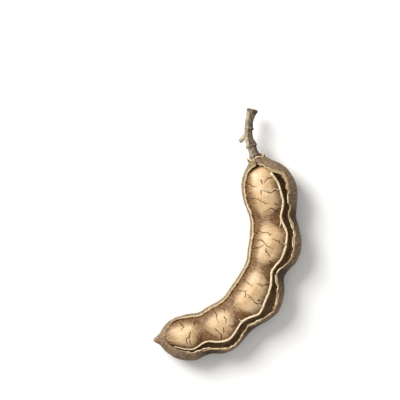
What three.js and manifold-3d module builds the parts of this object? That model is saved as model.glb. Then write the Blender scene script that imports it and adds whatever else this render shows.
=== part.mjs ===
// A tamarind pod as picked, lying on its flat side with its window upwards.
// The brittle shell is broken away along the top, so the lobed pulp shows inside it, with the coarse string
// that runs down the pulp's outer edge and the woody stalk that the pod hung from.
// Millimetres. The pod curves in the xy plane, with its stalk towards +y. The surface it lies on is z = 0.
import * as THREE from "three";
import { LoftGeometry } from "three/addons/geometries/LoftGeometry.js";
import { mergeVertices } from "three/addons/utils/BufferGeometryUtils.js";
import Module from "manifold-3d";

const wasm = await Module();
wasm.setup();

// Driving dimensions
const CENTRE = { x: -0.15, y: 0.45 }; // of the whole part, which is moved to the origin
const WALL = 1.1; // thickness of the shell
const INNER_LIP = 1.8; // from the pod's inner side to the window's rim there, where the pulp's edge lies too
const LIP_AT_COLLAR = 2.5; // the same by the collar, where more of the shell is left
const CLEARANCE = 0.3; // between pieces that lie against each other
const STRING_RADIUS = 0.62;
const CRACK_WIDTH = 0.6;
const CRACK_DEPTH = 0.45;

// The line through the middle of the pod in plan, from its collar to its beak, as x and y
const AXIS = [
  [14.5, 37.6],
  [18.6, 26.5],
  [22.0, 12.0],
  [22.4, -4.0],
  [18.2, -20.0],
  [9.6, -34.5],
  [-3.0, -45.2],
  [-18.5, -50.6],
  [-30.5, -52.2],
  [-37.0, -52.7],
];
const HEIGHT = { collar: 11.6, beak: 9.0 }; // of that line above the surface the pod lies on

// Distances from that line, at shares of its length. The pod has five swellings, one for each seed.
// inner and outer: to the pod's two sides, the inner one being the hollow side of its curve
// deep: half of the pod's depth, upwards and downwards
// string: to the string along the pulp's outer edge
// rim: to the window's ragged outer rim
const STATIONS = [
  { share: 0.0, inner: 4.4, outer: 4.4, deep: 4.3, string: 2.4, rim: -0.9 },
  { share: 0.02, inner: 7.3, outer: 6.6, deep: 6.6, string: 4.4, rim: -0.1 },
  { share: 0.045, inner: 10.1, outer: 10.1, deep: 8.9, string: 5.4, rim: 2.7 },
  { share: 0.06, inner: 11.1, outer: 11.5, deep: 9.8, string: 5.6, rim: 4.3 },
  { share: 0.08, inner: 12.1, outer: 13.0, deep: 10.8, string: 5.7, rim: 8.0 },
  { share: 0.14, inner: 13.0, outer: 14.6, deep: 11.6, string: 5.8, rim: 9.2 },
  { share: 0.18, inner: 12.5, outer: 13.5, deep: 10.7, string: 5.9, rim: 8.7 },
  { share: 0.24, inner: 11.4, outer: 11.6, deep: 9.3, string: 3.8, rim: 7.8 },
  { share: 0.29, inner: 11.7, outer: 13.4, deep: 10.2, string: 6.2, rim: 9.4 },
  { share: 0.33, inner: 11.9, outer: 14.4, deep: 10.6, string: 6.3, rim: 9.5 },
  { share: 0.38, inner: 11.9, outer: 13.4, deep: 9.9, string: 5.4, rim: 9.6 },
  { share: 0.44, inner: 10.9, outer: 9.5, deep: 8.4, string: 2.6, rim: 4.8 },
  { share: 0.49, inner: 11.3, outer: 12.6, deep: 9.6, string: 4.8, rim: 8.5 },
  { share: 0.55, inner: 11.8, outer: 14.8, deep: 10.5, string: 6.1, rim: 11.9 },
  { share: 0.59, inner: 11.6, outer: 13.6, deep: 9.8, string: 7.2, rim: 10.8 },
  { share: 0.65, inner: 10.9, outer: 10.9, deep: 8.5, string: 4.1, rim: 8.0 },
  { share: 0.73, inner: 11.6, outer: 13.4, deep: 9.6, string: 7.3, rim: 11.5 },
  { share: 0.76, inner: 11.2, outer: 13.2, deep: 9.0, string: 6.4, rim: 10.2 },
  { share: 0.8, inner: 10.4, outer: 11.1, deep: 8.1, string: 4.3, rim: 7.5 },
  { share: 0.86, inner: 11.1, outer: 12.1, deep: 9.7, string: 6.1, rim: 7.4 },
  { share: 0.92, inner: 9.9, outer: 9.9, deep: 7.9, string: 3.7, rim: 4.6 },
  { share: 0.955, inner: 6.8, outer: 6.4, deep: 5.2, string: 2.5, rim: 2.9 },
  { share: 0.98, inner: 2.9, outer: 2.5, deep: 2.3, string: 1.0, rim: 1.0 },
  { share: 1.0, inner: 0.9, outer: 0.9, deep: 0.9, string: 0.3, rim: 0.0 },
];

// Where along the length each thing begins and ends, and over how much of it the ends round off
const SLIT = { to: 0.016, outer: -0.85, inner: -1.5 }; // through the collar, and its two sides there
const WINDOW = { from: SLIT.to, to: 0.956, roundFrom: 0.014, roundTo: 0.06, lowEnd: -0.6 };
const HOLLOW = { from: 0.012, to: 0.965 };
const PULP = { from: 0.0255, to: 0.962, roundFrom: 0.03, roundTo: 0.009 };
const STRING = { from: 0.06, to: 0.925 };
const COLLAR = { from: 0.05, to: 0.11 }; // over which the wider lip by the collar runs out
const SMOOTH = { from: 0.84, to: 0.88 }; // over which the ragged outer rim turns smooth towards the beak
const PULP_WIDEST = 2.4; // height of the pulp's widest line above the pod's middle
const PULP_BELOW_TOP = 1.7; // from the top of the pod's curve down to the top of the pulp
const BLUNTNESS = 0.38; // of the pulp's ends in plan: the smaller the blunter, and 1 is a half circle

// Fine cracks in the pulp's skin: places along each, as share of the length and place across it from -1 to 1
const CRACKS = [
  [[0.081, -0.94], [0.081, -0.81], [0.094, -0.63], [0.102, -0.4]],
  [[0.085, 0.67], [0.085, 0.41], [0.095, 0.14]],
  [[0.079, -0.06], [0.087, -0.02], [0.098, 0.01]],
  [[0.137, 0.89], [0.131, 0.77], [0.141, 0.32], [0.124, 0.06], [0.12, -0.18]],
  [[0.123, -0.17], [0.137, -0.2]],
  [[0.129, -0.98], [0.141, -0.88], [0.148, -0.59], [0.152, -0.43], [0.164, -0.35], [0.177, 0.01]],
  [[0.215, 0.72], [0.209, 0.52], [0.197, 0.23], [0.203, 0.04], [0.208, -0.2]],
  [[0.182, 0.42], [0.191, 0.62]],
  [[0.259, 0.94], [0.269, 0.55]],
  [[0.297, -0.97], [0.286, -0.8], [0.296, -0.58], [0.29, -0.32], [0.302, 0.04]],
  [[0.33, -0.82], [0.323, -0.61], [0.347, -0.23], [0.356, 0.24]],
  [[0.372, -0.98], [0.359, -0.59], [0.344, -0.38]],
  [[0.331, 0.83], [0.33, 0.57], [0.322, 0.4], [0.317, 0.09]],
  [[0.359, -0.19], [0.371, -0.14], [0.389, 0.24]],
  [[0.403, 0.31], [0.412, 0.67]],
  [[0.522, -0.98], [0.517, -0.86], [0.521, -0.68], [0.521, -0.2]],
  [[0.491, 0.82], [0.492, 0.64], [0.505, 0.38], [0.504, -0.04]],
  [[0.576, -0.97], [0.572, -0.73], [0.551, -0.37]],
  [[0.557, -0.48], [0.58, -0.23]],
  [[0.563, 0.8], [0.573, 0.37], [0.562, -0.08], [0.564, -0.23]],
  [[0.555, 0.62], [0.559, 0.46]],
  [[0.692, -0.98], [0.692, -0.85]],
  [[0.68, -0.82], [0.678, -0.64], [0.685, -0.46]],
  [[0.699, -0.27], [0.699, -0.06], [0.707, 0.15]],
  [[0.678, 0.75], [0.693, 0.57], [0.701, 0.34]],
  [[0.728, -0.98], [0.719, -0.69], [0.731, -0.44], [0.728, -0.17]],
  [[0.75, 0.8], [0.743, 0.56], [0.749, 0.21], [0.758, 0.06]],
  [[0.722, 0.22], [0.732, 0.45]],
  [[0.818, -0.94], [0.83, -0.58], [0.837, -0.42]],
  [[0.887, -0.86], [0.874, -0.64], [0.888, -0.35]],
  [[0.851, -0.16], [0.861, 0.2], [0.876, 0.22]],
  [[0.873, 0.28], [0.869, 0.6]],
  [[0.862, 0.3], [0.858, 0.63]],
  [[0.817, 0.13], [0.832, 0.45]],
];

// Where along the length the string sends a short branch over the pulp, and how far each drifts along it
const BRANCHES = [
  { share: 0.138, drift: -0.012 },
  { share: 0.252, drift: -0.02 },
  { share: 0.334, drift: -0.006 },
  { share: 0.572, drift: -0.006 },
  { share: 0.655, drift: 0.004 },
];

// Remains of the flower's cup around the stalk's foot: angle around the collar in degrees, length and
// half width of each point, and how far its tip curls outwards
const CUP_POINTS = [
  { angle: 18, length: 2.3, width: 1.5, curl: -0.1 },
  { angle: 82, length: 1.5, width: 1.7, curl: 0.3 },
  { angle: 157, length: 2.1, width: 1.6, curl: 0.8 },
  { angle: 236, length: 2.0, width: 1.6, curl: 0.8 },
  { angle: 305, length: 2.1, width: 1.4, curl: 0.9 },
];

// The stalk from inside the collar to the joint where it left the branch: middle and radius
const STALK = [
  { x: 15.0, y: 35.2, r: 1.7 },
  { x: 14.7, y: 36.3, r: 2.0 },
  { x: 14.2, y: 37.6, r: 2.05 },
  { x: 13.5, y: 39.4, r: 2.5 },
  { x: 12.5, y: 42.0, r: 2.25 },
  { x: 12.0, y: 43.6, r: 2.3 },
  { x: 11.7, y: 44.4, r: 2.75 },
  { x: 11.2, y: 46.0, r: 2.45 },
  { x: 10.4, y: 48.4, r: 2.0 },
  { x: 10.1, y: 51.6, r: 2.0 },
  { x: 10.3, y: 53.2, r: 2.3 },
  { x: 10.4, y: 54.4, r: 1.95 },
  { x: 10.8, y: 57.4, r: 1.95 },
  { x: 11.5, y: 60.2, r: 2.3 },
  { x: 12.0, y: 61.8, r: 2.75 },
  { x: 12.3, y: 63.0, r: 2.5 },
];
const STALK_HEIGHT = 11.4;
// What is left of the side twig: a short stub that snapped off
const TWIG = { x: 9.8, y: 50.8, dx: -0.68, dy: -0.73, length: 6.0, from: 1.7, to: 1.0 };

// Counts of facets
const POD_RINGS = 62;
const POD_SIDES = 32;
const HOLLOW_RINGS = 50;
const HOLLOW_SIDES = 26;
const WINDOW_RINGS = 110;
const PULP_RINGS = 60;
const PULP_SIDES = 28;
const STRING_RINGS = 72;
const STRING_SIDES = 6;
const STALK_RINGS = 36;
const STALK_SIDES = 12;

const radians = THREE.MathUtils.degToRad;
const degrees = THREE.MathUtils.radToDeg;
const { lerp, smoothstep, clamp } = THREE.MathUtils;
const UP = new THREE.Vector3(0, 0, 1);

// A repeatable random number from 0 to 1 for each n, and a smooth line through such numbers from -1 to 1
const hash = (n) => {
  const x = Math.sin(n * 12.9898 + 4.1414) * 43758.5453;
  return x - Math.floor(x);
};
const noise = (x) => {
  const i = Math.floor(x);
  return lerp(hash(i), hash(i + 1), smoothstep(x - i, 0, 1)) * 2 - 1;
};

const axis = new THREE.CatmullRomCurve3(AXIS.map(([x, y]) => new THREE.Vector3(x, y, 0)));
axis.arcLengthDivisions = 1000;

// Smooth curves through each of the distances in the list of stations
const DISTANCES = ["inner", "outer", "deep", "string", "rim"];
const distances = new THREE.CubicInterpolant(
  STATIONS.map((station) => station.share),
  STATIONS.flatMap((station) => DISTANCES.map((name) => station[name])),
  DISTANCES.length,
);

// The pod's section at a share of its length: its middle, the way out to its outer curve, and its distances
function podAt(share) {
  const [inner, outer, deep, string, rim] = distances.evaluate(share);
  const along = axis.getTangentAt(clamp(share, 0, 1));
  const out = new THREE.Vector3(-along.y, along.x, 0).normalize();
  const middle = axis.getPointAt(clamp(share, 0, 1)).setZ(lerp(HEIGHT.collar, HEIGHT.beak, share));
  const shift = (outer - inner) / 2;
  const wide = (outer + inner) / 2;
  const lip = inner - lerp(LIP_AT_COLLAR, INNER_LIP, smoothstep(share, COLLAR.from, COLLAR.to));
  return { middle, out, shift, wide, deep, lip, string, rim };
}

// How far something is open at a share between its two ends, from 0 to 1, where both ends are round
function opened(share, { from, to, roundFrom, roundTo }) {
  const near = clamp(Math.min((share - from) / roundFrom, (to - share) / roundTo), 0, 1);
  return Math.max(Math.sqrt(1 - (1 - near) ** 2), 0.06);
}

// A point of the section at a sideways and an upward distance from its middle
function offset(pod, sideways, up) {
  return pod.middle.clone().addScaledVector(pod.out, sideways).addScaledVector(UP, up);
}

// A point around the pod at an angle: 0 on the outer curve and 90 on top
function podPoint(pod, angle, inset = 0) {
  const a = radians(angle);
  const wide = Math.max(pod.wide - inset, 0.1);
  const deep = Math.max(pod.deep - inset, 0.1);
  return offset(pod, pod.shift + wide * Math.cos(a), deep * Math.sin(a));
}

// The angle around the pulp that the string lies at. It comes down from the stalk's foot to the shoulder.
const SHOULDER = 30;
const stringAngle = (share) => lerp(50, SHOULDER, smoothstep(share, STRING.from, 0.12));

// A point around the pulp, or lifted off it. Its inner edge meets the window's rim, its outer edge carries
// the string, and where it would be wider than the shell's hollow it lies close to the shell.
function pulpPoint(share, angle, lift = 0) {
  const pod = podAt(share);
  const onShoulder = Math.cos(radians(SHOULDER));
  const half = (pod.lip + pod.string - (STRING_RADIUS + CLEARANCE) * onShoulder) / (1 + onShoulder);
  const dome = opened(share, PULP);
  const a = radians(angle);
  const above = pod.deep - PULP_BELOW_TOP - PULP_WIDEST;
  const below = pod.deep - WALL - CLEARANCE + PULP_WIDEST;
  const sideways = half - pod.lip + half * dome ** BLUNTNESS * Math.cos(a) - pod.shift;
  const up = (PULP_WIDEST + (Math.sin(a) > 0 ? above : below) * Math.sin(a)) * dome;
  const room = WALL + CLEARANCE;
  const fit = Math.max(Math.hypot(sideways / (pod.wide - room), up / (pod.deep - room)), 1);
  return offset(pod, pod.shift + sideways / fit + lift * Math.cos(a), up / fit + lift * Math.sin(a));
}

// A closed solid lofted through rings of points
function solid(geometry) {
  const bare = geometry.index ? geometry.toNonIndexed() : geometry.clone();
  bare.deleteAttribute("normal");
  bare.deleteAttribute("uv");
  const merged = mergeVertices(bare, 1e-4);
  return new wasm.Manifold(
    new wasm.Mesh({
      numProp: 3,
      vertProperties: merged.attributes.position.array,
      triVerts: new Uint32Array(merged.index.array),
    }),
  );
}

const loft = (rings) => solid(new LoftGeometry(rings, { capStart: true, capEnd: true }));

// Rings of a body between two shares of the pod's length, with place(share, angle) for each point
function rings(from, to, count, sides, place) {
  return Array.from({ length: count + 1 }, (_, i) => {
    const share = lerp(from, to, i / count);
    return Array.from({ length: sides }, (_, k) => place(share, (k * 360) / sides));
  });
}

// A round strand along a list of points, with its radius at each
function strand(points, radius, sides) {
  const curve = new THREE.CatmullRomCurve3(points);
  const count = points.length - 1;
  return loft(
    points.map((point, i) => {
      const along = curve.getTangent(i / count);
      const side = new THREE.Vector3().crossVectors(UP, along).normalize();
      const over = new THREE.Vector3().crossVectors(along, side);
      return Array.from({ length: sides }, (_, k) => {
        const a = (k / sides) * Math.PI * 2;
        const r = radius(i / count);
        return point
          .clone()
          .addScaledVector(side, r * Math.cos(a))
          .addScaledVector(over, r * Math.sin(a));
      });
    }),
  );
}

// The wedge that the window is cut with, from the middle of the pulp out through both rims.
// The outer rim is broken and ragged, and the inner one is nearly smooth. A narrow slit splits the collar.
function windowWedge() {
  return loft(
    Array.from({ length: WINDOW_RINGS + 1 }, (_, i) => {
      const share = lerp(0, WINDOW.to, i / WINDOW_RINGS);
      const pod = podAt(share);
      const open = share < WINDOW.from ? 0 : opened(share, WINDOW);
      const rough = 1 - 0.8 * smoothstep(share, SMOOTH.from, SMOOTH.to);
      const ragged = rough * (0.45 * noise(share * 52) + 0.25 * noise(share * 118 + 40));
      const nearCollar = share < 0.5;
      const outerRim = lerp(nearCollar ? SLIT.outer : WINDOW.lowEnd, pod.rim + ragged, open);
      const innerRim = lerp(nearCollar ? SLIT.inner : WINDOW.lowEnd, -pod.lip - 0.2, open);
      const apex = offset(pod, (outerRim + innerRim) / 2, -0.3 * pod.deep);
      const beyond = (rim, inset) => {
        const angle = degrees(Math.acos((rim - pod.shift) / (pod.wide - inset)));
        return podPoint(pod, angle, inset).sub(apex).multiplyScalar(1.5).add(apex);
      };
      return [
        apex,
        beyond(outerRim, 0),
        offset(pod, (outerRim + innerRim) / 2, 2.2 * pod.deep),
        beyond(innerRim, WALL),
      ];
    }),
  );
}

// The inside of the shell, drawn in by more than the wall where a piece has to stay clear of it
function hollow(inset) {
  const onInside = (share, angle) => podPoint(podAt(share), angle, inset);
  return loft(rings(HOLLOW.from, HOLLOW.to, HOLLOW_RINGS, HOLLOW_SIDES, onInside));
}

// A pointed remain of the flower's cup, which stands on the collar's edge and curls outwards
function cupPoint({ angle, length, width, curl }) {
  const pod = podAt(0);
  const back = new THREE.Vector3().crossVectors(UP, pod.out);
  const outwards = podPoint(pod, angle).sub(pod.middle).normalize();
  const across = new THREE.Vector3().crossVectors(back, outwards);
  const root = podPoint(pod, angle, 0.9).addScaledVector(back, -1.2);
  const count = 5;
  return loft(
    Array.from({ length: count + 1 }, (_, i) => {
      const s = i / count;
      const middle = root
        .clone()
        .addScaledVector(back, (length + 1.2) * s)
        .addScaledVector(outwards, curl * s ** 3);
      return Array.from({ length: 8 }, (_, k) => {
        const a = (k * Math.PI) / 4;
        return middle
          .clone()
          .addScaledVector(outwards, lerp(0.7, 0.2, s) * Math.cos(a))
          .addScaledVector(across, lerp(width, 0.15, s) * Math.sin(a));
      });
    }),
  );
}

function makeShell(stalkPassage) {
  const onSurface = (share, angle) => {
    const point = podPoint(podAt(share), angle);
    return point.setZ(Math.max(point.z, 0));
  };
  let shell = loft(rings(0, 1, POD_RINGS, POD_SIDES, onSurface));
  for (const point of CUP_POINTS) shell = shell.add(cupPoint(point));
  return shell.subtract(hollow(WALL)).subtract(windowWedge()).subtract(stalkPassage);
}

// A crack is a V-shaped groove over the top of the pulp, deepest half way along
function crackCutter(places) {
  const stops = places.map(([share, across]) => new THREE.Vector3(share, across, 0));
  const curve = new THREE.CatmullRomCurve3(stops);
  const count = Math.min(places.length + 1, 5);
  const onPulp = (k, lift) => {
    const place = curve.getPoint(clamp(k, 0, count) / count);
    return pulpPoint(place.x, degrees(Math.acos(clamp(place.y, -1, 1))), lift);
  };
  return loft(
    Array.from({ length: count + 1 }, (_, k) => {
      const along = onPulp(k + 0.5, 0).sub(onPulp(k - 0.5, 0)).normalize();
      const up = onPulp(k, 0.5).sub(onPulp(k, 0)).normalize();
      const side = new THREE.Vector3().crossVectors(up, along).normalize();
      const size = Math.sin((Math.PI * (k + 0.35)) / (count + 0.7));
      return [
        onPulp(k, 0).addScaledVector(up, -CRACK_DEPTH * size),
        onPulp(k, 0.25).addScaledVector(side, 0.75 * CRACK_WIDTH * size),
        onPulp(k, 0.25).addScaledVector(side, -0.75 * CRACK_WIDTH * size),
      ];
    }),
  );
}

function makePulp() {
  const body = loft(rings(PULP.from, PULP.to, PULP_RINGS, PULP_SIDES, pulpPoint));
  return CRACKS.map(crackCutter).reduce((pulp, cutter) => pulp.subtract(cutter), body);
}

// The string lies along the pulp's outer edge, and its branches reach over onto the pulp
function makeString() {
  const lift = STRING_RADIUS + CLEARANCE;
  const cord = Array.from({ length: STRING_RINGS + 1 }, (_, i) => {
    const share = lerp(STRING.from, STRING.to, i / STRING_RINGS);
    return pulpPoint(share, stringAngle(share) + 2.5 * noise(share * 45 + 7), lift);
  });
  const radius = (s) => STRING_RADIUS * (0.92 + 0.12 * noise(s * 60)) * (1 - 0.55 * s ** 6);
  let string = strand(cord, radius, STRING_SIDES);
  for (const { share, drift } of BRANCHES) {
    const branch = Array.from({ length: 5 }, (_, k) => {
      const angle = stringAngle(share) + 6 * k;
      return pulpPoint(share + (drift * k) / 4, angle, lift - 0.2);
    });
    string = string.add(strand(branch, (s) => lerp(0.42, 0.16, s), 5));
  }
  return string.intersect(hollow(WALL + CLEARANCE));
}

// The stalk. With extra radius and up to a share of its length, it is the passage that the collar leaves it.
function stalkBody(extra, share) {
  const path = new THREE.CatmullRomCurve3(STALK.map(({ x, y }) => new THREE.Vector3(x, y, STALK_HEIGHT)));
  const radius = new THREE.CatmullRomCurve3(STALK.map(({ r }) => new THREE.Vector3(r, 0, 0)));
  const count = Math.round(STALK_RINGS * share);
  const points = Array.from({ length: count + 1 }, (_, i) => path.getPoint(i / STALK_RINGS));
  return strand(points, (s) => radius.getPoint(s * share).x + extra, STALK_SIDES);
}

function makeStalk() {
  const count = 6;
  const twig = Array.from({ length: count + 1 }, (_, i) => {
    const reach = (TWIG.length * i) / count;
    return new THREE.Vector3(TWIG.x + TWIG.dx * reach, TWIG.y + TWIG.dy * reach, STALK_HEIGHT);
  });
  return stalkBody(0, 1).add(strand(twig, (s) => lerp(TWIG.from, TWIG.to, Math.sqrt(s)), 9));
}

// A named mesh in the colour and finish of its material
function piece(name, made, color, roughness) {
  const { vertProperties, triVerts } = made.getMesh();
  const geometry = new THREE.BufferGeometry();
  geometry.setAttribute("position", new THREE.Float32BufferAttribute(vertProperties, 3));
  geometry.setIndex(new THREE.Uint32BufferAttribute(triVerts, 1));
  geometry.translate(-CENTRE.x, -CENTRE.y, 0);
  geometry.computeVertexNormals();
  const material = new THREE.MeshStandardMaterial({ color, roughness, metalness: 0 });
  const mesh = new THREE.Mesh(geometry, material);
  mesh.name = name;
  return mesh;
}

const pod = new THREE.Group();
pod.add(
  piece("shell", makeShell(stalkBody(CLEARANCE, 0.5)), 0x8f7355, 0.85),
  piece("pulp", makePulp(), 0xc39a6b, 0.55),
  piece("string", makeString(), 0xd9c49b, 0.7),
  piece("stalk", makeStalk(), 0x77624c, 0.85),
);

export default pod;
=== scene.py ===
import math

import bpy
import numpy as np
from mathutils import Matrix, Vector, noise


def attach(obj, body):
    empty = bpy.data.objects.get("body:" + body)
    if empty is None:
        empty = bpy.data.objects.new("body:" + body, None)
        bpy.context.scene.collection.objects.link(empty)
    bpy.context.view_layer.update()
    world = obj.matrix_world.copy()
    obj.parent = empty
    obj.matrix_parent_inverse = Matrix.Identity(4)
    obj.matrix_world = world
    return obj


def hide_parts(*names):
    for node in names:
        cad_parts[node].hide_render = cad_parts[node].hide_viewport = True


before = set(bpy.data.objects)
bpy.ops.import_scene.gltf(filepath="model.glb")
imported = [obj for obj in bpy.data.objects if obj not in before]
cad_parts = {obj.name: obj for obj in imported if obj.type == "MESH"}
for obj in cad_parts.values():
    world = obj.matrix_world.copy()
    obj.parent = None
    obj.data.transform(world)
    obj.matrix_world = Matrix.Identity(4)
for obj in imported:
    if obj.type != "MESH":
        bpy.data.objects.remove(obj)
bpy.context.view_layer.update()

# The shell: the dry, brittle husk of the pod, about a millimetre thick, with a scurfy cinnamon skin.
# It is one skin laid round the pod's sections, from rim to rim of the broken window, with a wall added.
# Flakes have come off along the ragged outer rim, which shows the pale layer under the skin.
AXIS = [
    (14.5, 37.6),
    (18.6, 26.5),
    (22.0, 12.0),
    (22.4, -4.0),
    (18.2, -20.0),
    (9.6, -34.5),
    (-3.0, -45.2),
    (-18.5, -50.6),
    (-30.5, -52.2),
    (-37.0, -52.7),
]
AXIS_LENGTH = 128.0
AXIS_STEPS = 2000
CENTRE = (-0.15, 0.45)
COLLAR_HEIGHT = 11.6
BEAK_HEIGHT = 9.0
# share of the length, inner side, outer side, half depth, string, window's outer rim
STATIONS = [
    (0.0, 4.4, 4.4, 4.3, 2.4, -0.9),
    (0.02, 7.3, 6.6, 6.6, 4.4, -0.1),
    (0.045, 10.1, 10.1, 8.9, 5.4, 2.7),
    (0.06, 11.1, 11.5, 9.8, 5.6, 4.3),
    (0.08, 12.1, 13.0, 10.8, 5.7, 8.0),
    (0.14, 13.0, 14.6, 11.6, 5.8, 9.2),
    (0.18, 12.5, 13.5, 10.7, 5.9, 8.7),
    (0.24, 11.4, 11.6, 9.3, 3.8, 7.8),
    (0.29, 11.7, 13.4, 10.2, 6.2, 9.4),
    (0.33, 11.9, 14.4, 10.6, 6.3, 9.5),
    (0.38, 11.9, 13.4, 9.9, 5.4, 9.6),
    (0.44, 10.9, 9.5, 8.4, 2.6, 4.8),
    (0.49, 11.3, 12.6, 9.6, 4.8, 8.5),
    (0.55, 11.8, 14.8, 10.5, 6.1, 11.9),
    (0.59, 11.6, 13.6, 9.8, 7.2, 10.8),
    (0.65, 10.9, 10.9, 8.5, 4.1, 8.0),
    (0.73, 11.6, 13.4, 9.6, 7.3, 11.5),
    (0.76, 11.2, 13.2, 9.0, 6.4, 10.2),
    (0.8, 10.4, 11.1, 8.1, 4.3, 7.5),
    (0.86, 11.1, 12.1, 9.7, 6.1, 7.4),
    (0.92, 9.9, 9.9, 7.9, 3.7, 4.6),
    (0.955, 6.8, 6.4, 5.2, 2.5, 2.9),
    (0.98, 2.9, 2.5, 2.3, 1.0, 1.0),
    (1.0, 0.9, 0.9, 0.9, 0.3, 0.0),
]
# the wall, and how wide the inner rim shows beside the pulp, along the pod and at the collar
WALL = 1.1
INNER_LIP = 1.8
LIP_AT_COLLAR = 2.5
# shares of the length: the window's two ends, how far each is rounded, where its outer rim turns smooth,
# where the rims begin to close on the pulp, the narrowest places between the five swellings, and the spread
# of the hollow at each
WINDOW_FROM = 0.016
WINDOW_TO = 0.956
WINDOW_ROUND = (0.014, 0.06)
RIM_CALMS = (0.84, 0.88)
CLOSING_FROM = 0.87
CLOSING_OVER = 0.06
FLUSH_FROM = 0.86
WAISTS = (0.24, 0.44, 0.65, 0.8)
HOLLOW_SPREAD = 0.032
# the slit through the collar lies between the first two distances, and at the beak both rims meet at the
# third; the skin's inner rim stands back from the pulp's edge by the fourth
SLIT_OUTER = -0.75
SLIT_INNER = -1.6
RIMS_MEET = -0.6
INNER_RIM_BACK = 1.05
# the collar's radius, and of each point of the flower's cup its angle round the collar, its length, its half
# width and its outward curl
COLLAR_RADIUS = 4.4
CUP_POINTS = [
    (18, 2.3, 1.5, -0.1),
    (82, 1.5, 1.7, 0.3),
    (157, 2.1, 1.6, 0.8),
    (236, 2.0, 1.6, 0.8),
    (305, 2.1, 1.4, 0.9),
]
# rows along the skin, the cup and the beak's tip, and columns round it, closer together along both rims
SKIN_ROWS = 370
COLLAR_ROWS = 9
BEAK_ROWS = 5
SKIN_COLUMNS = 108
RIM_COLUMNS = 13
OUTER_BAND = 0.055
INNER_BAND = 0.965
# the radius that turns an angle into millimetres round the skin, and the skin's length round the pod
# in half widths of the pod
SKIN_GIRTH = 12.0
RIM_TO_RIM = 4.6
# the beak's tip past the last section, and where its tip is painted pale as a highlight
BEAK_TIP = 0.45
BEAK_TIP_HIGHLIGHT = (0.984, 0.998)
# where more of the skin has come off along the outer rim: share of the length, spread and extra width
BARE_PATCHES = [(0.068, 0.02, 1.7), (0.34, 0.03, 0.5)]


def curve_through(points, count):
    """A centripetal curve through points, as count + 1 places evenly spread along its length."""
    keys = np.array(points, float)
    keys = np.vstack([2 * keys[0] - keys[1], keys, 2 * keys[-1] - keys[-2]])
    line = []
    for index in range(len(keys) - 3):
        p0, p1, p2, p3 = keys[index:index + 4]
        d0, d1, d2 = (max(np.sum((b - a) ** 2) ** 0.25, 1e-3) for a, b in ((p0, p1), (p1, p2), (p2, p3)))
        t1 = ((p1 - p0) / d0 - (p2 - p0) / (d0 + d1) + (p2 - p1) / d1) * d1
        t2 = ((p2 - p1) / d1 - (p3 - p1) / (d1 + d2) + (p3 - p2) / d2) * d1
        for w in np.linspace(0, 1, 100, endpoint=index == len(keys) - 4):
            curve = (3 * (p2 - p1) - 2 * t1 - t2) * w ** 2 + (2 * (p1 - p2) + t1 + t2) * w ** 3
            line.append(p1 + t1 * w + curve)
    line = np.array(line)
    reach = np.concatenate([[0], np.cumsum(np.linalg.norm(np.diff(line, axis=0), axis=1))])
    even = np.linspace(0, reach[-1], count + 1)
    return np.stack([np.interp(even, reach, line[:, k]) for k in range(line.shape[1])], axis=1)


def smooth_between(keys, values, at):
    """A smooth curve through values at unevenly spread keys."""
    keys = np.array(keys, float)
    values = np.array(values, float)
    secants = np.diff(values) / np.diff(keys)
    slopes = np.concatenate([secants[:1], (secants[:-1] + secants[1:]) / 2, secants[-1:]])
    i = np.clip(np.searchsorted(keys, at, side="right") - 1, 0, len(keys) - 2)
    gap = keys[i + 1] - keys[i]
    p = np.clip((at - keys[i]) / gap, 0, 1)
    rise = values[i + 1] - values[i]
    a = slopes[i] * gap - rise
    b = rise - slopes[i + 1] * gap
    return values[i] + rise * p + p * (1 - p) * (a * (1 - p) + b * p)


AXIS_LINE = curve_through(AXIS, AXIS_STEPS)
AXIS_WAY = np.gradient(AXIS_LINE, axis=0)
AXIS_WAY /= np.linalg.norm(AXIS_WAY, axis=1)[:, None]


def eased(value, start, end):
    """From 0 at start to 1 at end, smoothly."""
    near = np.clip((value - start) / (end - start), 0, 1)
    return near * near * (3 - 2 * near)


def pod_at(share):
    """The pod's section at each share of its length."""
    place = np.clip(share, 0, 1) * AXIS_STEPS
    steps = np.arange(AXIS_STEPS + 1)
    middle = [np.interp(place, steps, AXIS_LINE[:, k]) - CENTRE[k] for k in (0, 1)]
    way = [np.interp(place, steps, AXIS_WAY[:, k]) for k in (0, 1)]
    shares, *columns = zip(*STATIONS)
    inner, outer, deep, string, rim = (smooth_between(shares, column, share) for column in columns)
    return {
        "middle": middle,
        "way": way,
        "height": COLLAR_HEIGHT + (BEAK_HEIGHT - COLLAR_HEIGHT) * np.clip(share, 0, 1),
        "shift": (outer - inner) / 2,
        "wide": (outer + inner) / 2,
        "deep": deep,
        "lip": inner - LIP_AT_COLLAR + (LIP_AT_COLLAR - INNER_LIP) * eased(share, 0.05, 0.11),
        "string": string,
        "rim": rim,
    }


def in_pod(pod, sideways, up, back=0.0):
    """Points in metres from distances in millimetres: sideways, up and back from the pod's middle."""
    x = pod["middle"][0] - pod["way"][1] * sideways - pod["way"][0] * back
    y = pod["middle"][1] + pod["way"][0] * sideways - pod["way"][1] * back
    return np.stack([x, y, pod["height"] + up], axis=-1) / 1000


def opened(share, start, end, round_start, round_end, least=0.0):
    """How far something is open between its two round ends, from 0 to 1."""
    near = np.clip(np.minimum((share - start) / round_start, (end - share) / round_end), 0, 1)
    return np.maximum(np.sqrt(1 - (1 - near) ** 2), least)


def grain(size, x, y=0.0, z=0.0, octaves=3):
    """Uneven relief from -1 to 1 at places in millimetres, with lumps of a size in millimetres."""
    x, y, z = np.broadcast_arrays(x, y, z)
    spots = np.stack([x.ravel(), y.ravel(), z.ravel()], axis=1) / size
    return np.array([noise.fractal(Vector(spot), 0.7, 2.1, octaves) for spot in spots]).reshape(x.shape)


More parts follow.
